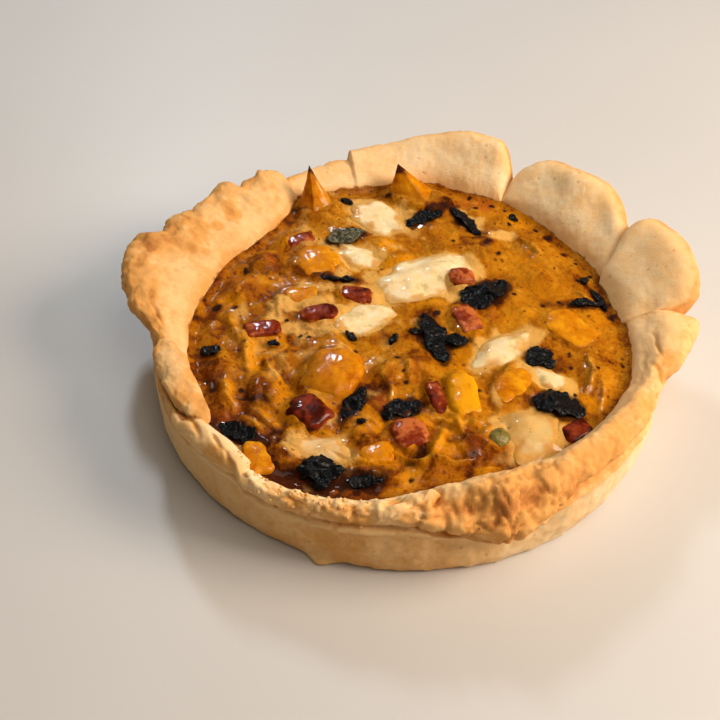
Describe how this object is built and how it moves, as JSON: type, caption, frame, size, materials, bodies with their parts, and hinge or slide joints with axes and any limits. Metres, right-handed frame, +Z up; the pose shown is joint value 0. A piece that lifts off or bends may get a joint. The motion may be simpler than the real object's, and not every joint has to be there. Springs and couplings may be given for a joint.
{
  "type": "quiche",
  "caption": "Small round open quiche with an uneven folded shortcrust rim, a baked egg filling, and cheese, squash, ham and charred leaves in its top.",
  "frame": {"origin": "middle of the flat underside, on the surface the quiche rests on", "axes": "+Z up out of the filling; -Y towards the low cut stretch of the rim and the crumbly roll, +X towards the tall flaps and the pointed ear, -X towards the broad left flap"},
  "size_m": [0.1177, 0.1067, 0.0259],
  "materials": {
    "crust": "matt baked shortcrust pastry, pale inside and browned on its crags",
    "filling": "oily baked egg filling, golden with brown patches",
    "cheese": "soft melted goat's cheese, satin",
    "squash": "roasted orange squash, satin, browned at its tips",
    "ham": "fried ham, moist and glossy",
    "caper": "dark green caper, glossy",
    "leaf": "charred leaf, brittle with an oily sheen"
  },
  "bodies": {
    "root": {"crust": "crust", "filling": "filling", "cheese_back": "cheese", "cheese_middle": "cheese", "cheese_centre_left": "cheese", "cheese_right": "cheese", "cheese_right_low": "cheese", "cheese_front_right": "cheese", "cheese_slab_front": "cheese", "cheese_left": "cheese", "squash_peak_left": "squash", "squash_peak_back": "squash", "squash_yellow": "squash", "squash_orange": "squash", "squash_bright": "squash", "squash_flat": "squash", "squash_left": "squash", "squash_middle_left": "squash", "squash_front_left": "squash", "squash_front": "squash", "ham_on_cheese": "ham", "ham_centre": "ham", "ham_centre_left": "ham", "ham_left_long": "ham", "ham_left": "ham", "ham_front_left": "ham", "ham_front": "ham", "ham_strip": "ham", "ham_right": "ham", "ham_back_left": "ham", "caper": "caper", "leaf_big_centre": "leaf", "leaf_forked": "leaf", "leaf_back": "leaf", "leaf_back_curled": "leaf", "leaf_right": "leaf", "leaf_right_small": "leaf", "leaf_right_thread": "leaf", "leaf_front": "leaf", "leaf_front_middle": "leaf", "leaf_front_upper": "leaf", "leaf_front_left": "leaf", "leaf_front_rim": "leaf", "leaf_twig": "leaf", "leaf_green": "leaf"}
  },
  "joints": []
}
